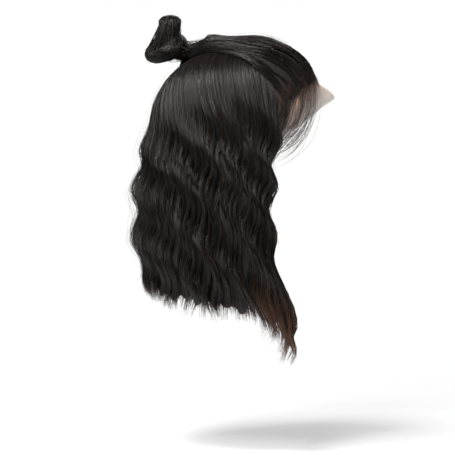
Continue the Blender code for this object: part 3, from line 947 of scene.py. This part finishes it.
def build_feed():
    """Strands that leave the swept hair at the tie and lie round the coil's near side."""
    count, ahead, steps = 260, 8, 16
    across = rng.uniform(-1, 1, count)
    leave = rng.uniform(0.80, 0.88, count)
    depth = rng.uniform(0.80, 1.0, count)
    start, outward = swept(across, leave, depth)
    before, _ = swept(across, leave - 0.03, depth)
    turn = (np.pi + 1.5 * across + rng.normal(0, 0.12, count))[:, None]
    turn = turn + np.linspace(0, rng.uniform(0.5, 1.1, count), steps - ahead + 1).T
    phi = column(1.7, 3.3, count) - WIND * (turn - turn[:, :1])
    line, radii, forward, side, out = round_coil(turn, phi)
    on_coil = line + out * (radii * column(0.97, 1.02, count))[..., None]
    first = start + unit(start - before) * 5 * MM
    second = on_coil[:, 0] - forward[:, 0] * 4 * MM - side[:, 0] * 2 * MM
    points = start, first, second
    onto_coil("knot_feed_hair", points, outward, on_coil, out, ahead, 0.72 * MM)


def build_drape():
    """Strands that come down the loop's two sides, spread out, and run on round the coil."""
    count, ahead, steps = 430, 7, 16
    aside = sides(count, right=0.65)
    spread = rng.uniform(-1, 1, count)
    arc = np.sqrt(1 - (0.92 * spread) ** 2)
    over = np.radians(rng.uniform(-30, 78, count))
    level = 0 * over
    out = np.stack([aside * np.cos(over), level, np.sin(over)], -1)
    down = np.stack([aside * np.sin(over), level, -np.cos(over)], -1)
    foot_aside, foot_back, foot_up = LOOP_LEG[-1, :3]
    rise, half_wide, half_deep = 7.7, 12.9, 7.5
    back = foot_back - LOOP_SAG * np.sin(over) + half_wide * spread
    begin = np.stack([level, back, level + foot_up], -1)
    begin = begin + out * (foot_aside, 0, rise) + out * half_deep * arc[:, None]
    begin[:, 0] -= LOOP_LEAN * smooth((begin[:, 2] - 2) / 22)
    begin, first = begin * MM, (begin + down * (0.42 * (begin[:, 2:] - 8))) * MM
    near = np.where(aside < 0, 0.5, 1.5) * np.pi
    turn = near + aside * 1.15 * spread
    reached = np.linspace(0, 1, steps - ahead + 1)
    further = aside * rng.uniform(0.3, 1.5, count)
    turn = turn[:, None] + np.linspace(0, further, steps - ahead + 1).T
    phi = column(0.1, 0.9, count) + column(0.7, 1.9, count) * reached
    line, radii, _, _, out = round_coil(turn, phi)
    on_coil = line + out * (radii * column(0.98, 1.05, count))[..., None]
    second = on_coil[:, 0] - (on_coil[:, 1] - on_coil[:, 0]) * 2.0
    away = unit(np.stack([aside * arc, spread, np.sin(over)], -1))
    points = begin, first, second
    onto_coil("knot_drape_hair", points, away, on_coil, out, ahead, 0.78 * MM)


# Hairline and stray hair


def fine_hair(name, ways, off, width, tone, reach):
    """Fine strands that follow ways over the form, off it by the given metres."""
    base = on_form(ways)
    normal = form_normal(base)
    strands(name, base + normal * off[..., None], normal, width, tone, reach, WISP_HAIR)


def build_hairline():
    """Fine hair on the lace at the hairline, combed back with the rest."""
    count, steps = 600, 8
    aside = rng.uniform(-64, 64, count)
    turn = np.interp(np.abs(aside), HAIRLINE_ASIDE, HAIRLINE_TURN)
    turn = turn - 15 * rng.random(count) ** 1.6 + 3
    share = np.linspace(0, 1, steps)
    back = column(8, 24, count)
    curl = rng.normal(0, 6, count)[:, None]
    lean = np.sign(aside)[:, None] * column(-2, 8, count)
    ways = over_top(
        turn[:, None] + back * share,
        aside[:, None] + lean * np.sin(np.pi * share / 1.6) + curl * share**2,
    )
    off = (1.0 + 3.4 * smooth(share / 0.5) * column(0.4, 1.1, count)) * MM
    tone, reach = rng.uniform(0.3, 0.9, count), rng.uniform(0.3, 0.75, count)
    fine_hair("hairline_hair", ways, off, 0.30 * MM, tone, reach)


def build_temple_wisps():
    """Fine wisps that fall forward from the hairline at the temples."""
    count, steps = 230, 14
    sign = sides(count)
    begin = 5 + 56 * rng.random(count) ** 0.55
    turn = np.interp(begin, HAIRLINE_ASIDE, HAIRLINE_TURN) + rng.uniform(-2, 3, count)
    share = np.linspace(0, 1, steps)
    fall = column(38, 88, count)
    end = (48 + 0.36 * begin + rng.normal(0, 3.5, count))[:, None]
    side = begin[:, None] + (end - begin[:, None]) * share**0.75
    side = side + wander(count, steps, 0.8, 1.0)
    ways = over_top(turn[:, None] - fall * share**1.2, sign[:, None] * np.clip(side, 0, 78))
    high, loose = rng.uniform(0.5, 3.0, (2, count, 1))
    off = (1.2 + high * np.sin(np.pi * np.clip(share * 1.1, 0, 1)) + loose * share) * MM
    tone, reach = rng.uniform(0.3, 1.0, count), rng.uniform(0.35, 0.8, count)
    fine_hair("temple_wisps", ways, off, 0.34 * MM, tone, reach)


def build_temple_hair():
    """Hair that softens the front edges of the hanging section."""
    count, steps = 240, 16
    sign = sides(count)[:, None]
    begin = column(104, 118, count)
    start = column(-0.05, 0.05, count)
    run = start + column(0.18, 0.6, count) * np.linspace(0, 1, steps)
    around = mix(begin, 106 + 0.45 * (begin - 104), smooth(run / 0.25))
    around = around + wander(count, steps, 0.7, 1.6)
    depth = mix(0.1, column(0.2, 0.95, count), smooth((run - start) / 0.12))
    shift = rng.normal(0, 0.3, (count, 1))
    paths, outward = hanging(sign * around, run, depth, shift, rng.uniform(0.7, 1.2, (count, 1)))
    widths = 0.45 * MM * rng.uniform(0.7, 1.2, count)
    tone, reach = rng.uniform(0.1, 0.7, count), rng.uniform(0.5, 0.75, count)
    strands("temple_hair", paths, outward, widths, tone, reach, HAIR)


def build_strays():
    """Loose single hairs that stand off the hanging hair, the crown and the knot."""
    count, steps = 110, 20
    around = column(-FRONT_EDGE, FRONT_EDGE, count) + wander(count, steps, 3.0, 1.2)
    start = column(0.0, 0.62, count)
    run = start + column(0.14, 0.37, count) * np.linspace(0, 1, steps)
    bow = np.sin(np.pi * np.linspace(0, 1, steps) ** 0.8)
    off = 0.99 + column(0.03, 0.26, count) * bow
    paths, outward = hanging(
        np.clip(around, -114, 114), np.clip(run, 0, 1.01), off, rng.normal(0, 0.4, (count, 1)),
        rng.uniform(0.7, 1.3, (count, 1)),
    )
    tone = rng.uniform(0.3, 0.9, count)
    strands("stray_hair", paths, outward, 0.26 * MM, tone, 0.75, HAIR)

    count, steps = 80, 16
    across = column(-1, 1, count) + wander(count, steps, 0.035, 1.0)
    start = column(0.0, 0.6, count)
    run = start + column(0.15, 0.38, count) * np.linspace(0, 1, steps)
    off = 1.0 + column(0.03, 0.35, count) * np.sin(np.pi * np.linspace(0, 1, steps))
    paths, outward = swept(np.clip(across, -1, 1), np.clip(run, 0, 0.98), off)
    tone = rng.uniform(0.3, 0.8, count)
    strands("crown_stray_hair", paths, outward, 0.24 * MM, tone, CROWN_REACH, CROWN_HAIR)


# Camera, floor and light

# Photo's view: level, and square to the wearer's right side. Lens and sensor in mm
CAMERA, LENS, SENSOR = (-2.2, 0.0231, -0.2256), 139.25, 36.0
FLOOR = -0.50
MIDDLE = Vector((0, 0.02, -0.16))
# Soft lights on the middle: place, side in metres, watts
LIGHTS = {
    "key": ((-1.5, 0.6, 1.15), 0.6, 18),
    "top": ((-0.8, 0.55, 1.6), 0.6, 31),
    "fill": ((-1.6, -1.3, 0.25), 1.2, 4),
    "back_rim": ((0.3, 1.7, 0.8), 1.0, 12),
    "far_side": ((1.7, -0.2, 0.9), 1.2, 14),
}


def add_area(name, place, size, power):
    """A square soft light, which looks down its own -Z, turned to the middle."""
    data = bpy.data.lights.new(name, "AREA")
    data.size, data.energy = size, power
    made = placed(name, data)
    made.location = place
    made.rotation_euler = (MIDDLE - made.location).to_track_quat("-Z", "Y").to_euler()


def build_stage():
    """Pale floor that fades out at its rim, white surroundings, soft lights and the camera."""
    scene = bpy.context.scene
    scene.view_settings.view_transform = "Standard"
    data = bpy.data.cameras.new("photo_view")
    data.lens, data.sensor_width, data.clip_start = LENS, SENSOR, 0.05
    camera = placed("photo_view", data)
    camera.location = CAMERA
    camera.rotation_euler = (math.radians(90), 0, math.radians(-90))
    scene.camera = camera

    rings, steps = np.array([[0.001], [0.5], [0.8], [1.1], [1.4]]), 64
    turn = np.arange(steps) * 2 * np.pi / steps
    across, back = rings * np.cos(turn), rings * np.sin(turn)
    points = np.stack([across, back, np.full_like(across, FLOOR)], -1)
    mesh = bpy.data.meshes.new("floor")
    at = np.arange(across.size).reshape(across.shape)
    quads = np.stack([at[:-1], at[1:], np.roll(at, -1, 1)[1:], np.roll(at, -1, 1)[:-1]], -1)
    mesh.from_pydata(points.reshape(-1, 3).tolist(), [], quads.reshape(-1, 4).tolist())
    finish = Finish(
        "pale_floor", Roughness=0.9, Base_Color=(0.9, 0.9, 0.9, 1),
        Emission_Color=(1, 1, 1, 1), Emission_Strength=0.2,
    )
    place = finish.node("TexCoord").out("Object")
    far = finish.node("VectorMath", {"operation": "LENGTH"}, {0: place}).out("Value")
    mesh.materials.append(finish.feed(Alpha=1 - far.eased(0.65, 1.35)))
    floor = placed("floor", mesh)

    world = scene.world or bpy.data.worlds.new("studio")
    scene.world = world
    world.use_nodes = True
    world.node_tree.nodes.clear()
    room = Tree(world.node_tree)
    white = {"Color": (1, 1, 1, 1)}
    seen = room.node("LightPath").out("Is Camera Ray")
    dim = room.node("Background", (), {**white, "Strength": 0.06})
    either = room.node("MixShader", (), {0: seen, 1: dim, 2: room.node("Background", (), white)})
    room.node("OutputWorld", (), {0: either})

    for name, (place, size, power) in LIGHTS.items():
        add_area(name, place, size, power)


build_cap()
build_swept()
build_coil()
build_loop()
build_feed()
build_drape()
build_hanging()
build_hairline()
build_temple_wisps()
build_temple_hair()
build_strays()
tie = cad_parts["hair_tie"]
for slot in tie.material_slots:
    slot.material = elastic_material()
build_stage()
